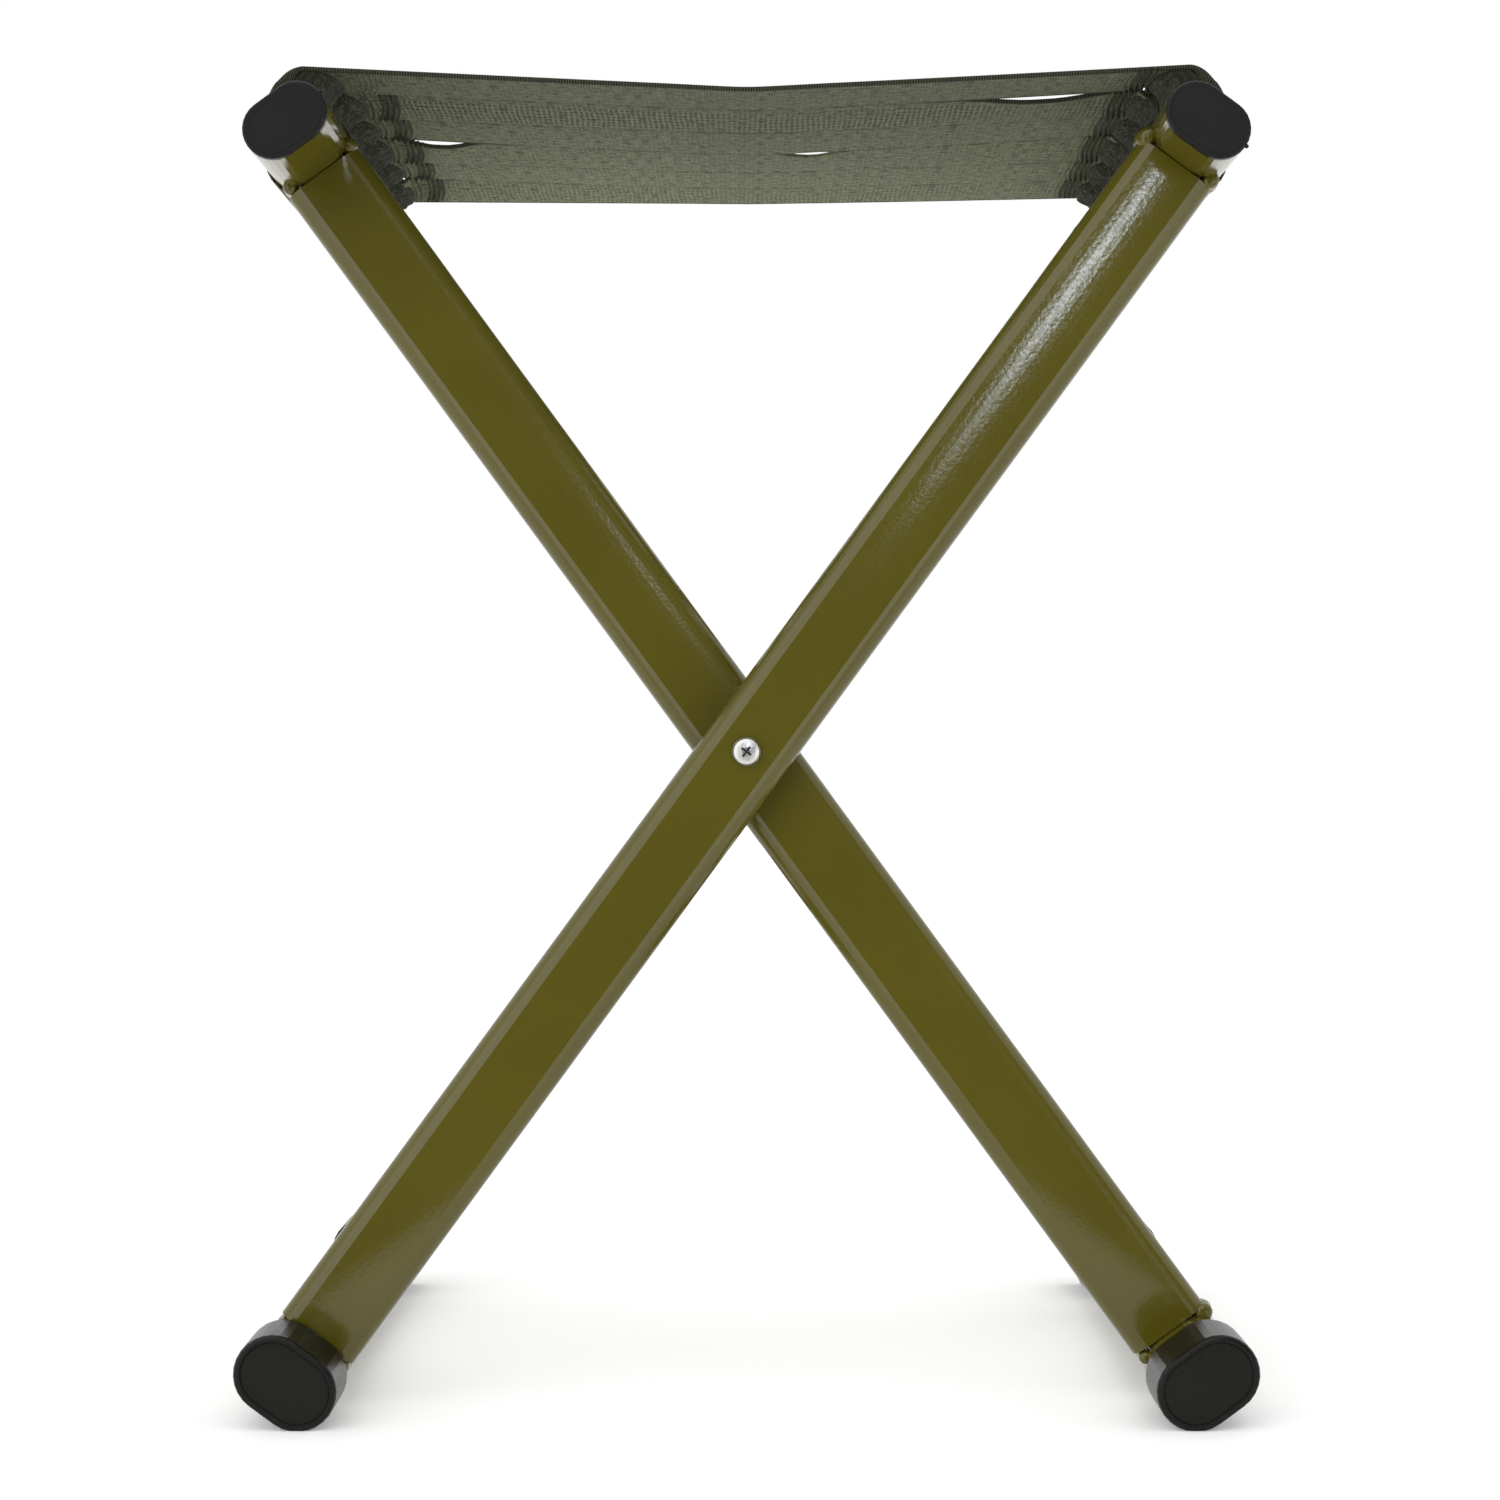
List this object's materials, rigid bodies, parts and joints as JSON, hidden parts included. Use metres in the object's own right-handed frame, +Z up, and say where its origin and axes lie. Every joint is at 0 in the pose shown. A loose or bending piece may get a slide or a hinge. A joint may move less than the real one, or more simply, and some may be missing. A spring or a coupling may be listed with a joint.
{
  "type": "folding camp stool",
  "caption": "Folding camp stool: two crossed tubular frames on a common pivot, a seat of woven straps, plastic rail caps and rubber feet",
  "frame": {"origin": "on the floor, under the middle of the stool's bounding box, open and standing", "axes": "+Z up, X across the fold from one pair of rails to the other, Y along the rails from front to rear"},
  "size_m": [0.3398, 0.276, 0.453],
  "materials": {
    "frame_paint": "glossy olive powder coat with orange peel",
    "cap_plastic": "matte black moulded plastic",
    "foot_rubber": "satin black rubber",
    "zinc_steel": "bright zinc plate",
    "spacer_nylon": "natural nylon",
    "webbing": "woven grey-green polyester webbing"
  },
  "bodies": {
    "outer_frame": {"outer_top_rail": "frame_paint", "outer_bottom_rail": "frame_paint", "outer_leg_front": "frame_paint", "outer_leg_rear": "frame_paint", "cap_right_front": "cap_plastic", "cap_right_rear": "cap_plastic", "foot_left_front": "foot_rubber", "foot_left_rear": "foot_rubber", "pivot_screw_front": "zinc_steel", "pivot_screw_rear": "zinc_steel", "pivot_spacer_front": "spacer_nylon", "pivot_spacer_rear": "spacer_nylon", "pivot_washer_front": "zinc_steel", "pivot_washer_rear": "zinc_steel", "pivot_nut_front": "zinc_steel", "pivot_nut_rear": "zinc_steel", "strap_1_wrap_right": "webbing", "strap_2_wrap_right": "webbing", "strap_3_wrap_right": "webbing", "strap_4_wrap_right": "webbing", "strap_5_wrap_right": "webbing", "strap_6_wrap_right": "webbing"},
    "inner_frame": {"inner_top_rail": "frame_paint", "inner_bottom_rail": "frame_paint", "inner_leg_front": "frame_paint", "inner_leg_rear": "frame_paint", "cap_left_front": "cap_plastic", "cap_left_rear": "cap_plastic", "foot_right_front": "foot_rubber", "foot_right_rear": "foot_rubber", "strap_1_wrap_left": "webbing", "strap_2_wrap_left": "webbing", "strap_3_wrap_left": "webbing", "strap_4_wrap_left": "webbing", "strap_5_wrap_left": "webbing", "strap_6_wrap_left": "webbing"},
    "seat_right": {"strap_1_right": "webbing", "strap_2_right": "webbing", "strap_3_right": "webbing", "strap_4_right": "webbing", "strap_5_right": "webbing", "strap_6_right": "webbing"},
    "seat_left": {"strap_1_left": "webbing", "strap_2_left": "webbing", "strap_3_left": "webbing", "strap_4_left": "webbing", "strap_5_left": "webbing", "strap_6_left": "webbing"}
  },
  "joints": [
    {"name": "fold", "type": "hinge", "parent": "outer_frame", "child": "inner_frame", "pos_m": [0, 0, 0.22395], "axis": [0, 1, 0], "range_deg": [0, 58], "deforming": ["strap_1_right", "strap_2_right", "strap_3_right", "strap_4_right", "strap_5_right", "strap_6_right", "strap_1_left", "strap_2_left", "strap_3_left", "strap_4_left", "strap_5_left", "strap_6_left"]},
    {"name": "seat_right_droop", "type": "hinge", "parent": "outer_frame", "child": "seat_right", "pos_m": [0.14846, 0, 0.4354], "axis": [0, -1, 0], "range_deg": [0, 54.3]},
    {"name": "seat_left_droop", "type": "hinge", "parent": "inner_frame", "child": "seat_left", "pos_m": [-0.14846, 0, 0.4354], "axis": [0, 1, 0], "range_deg": [0, 54.3]}
  ],
  "couplings": [
    {"joint": "seat_right_droop", "follows": "fold", "ratio": 0.9356},
    {"joint": "seat_left_droop", "follows": "fold", "ratio": 0.9356}
  ]
}
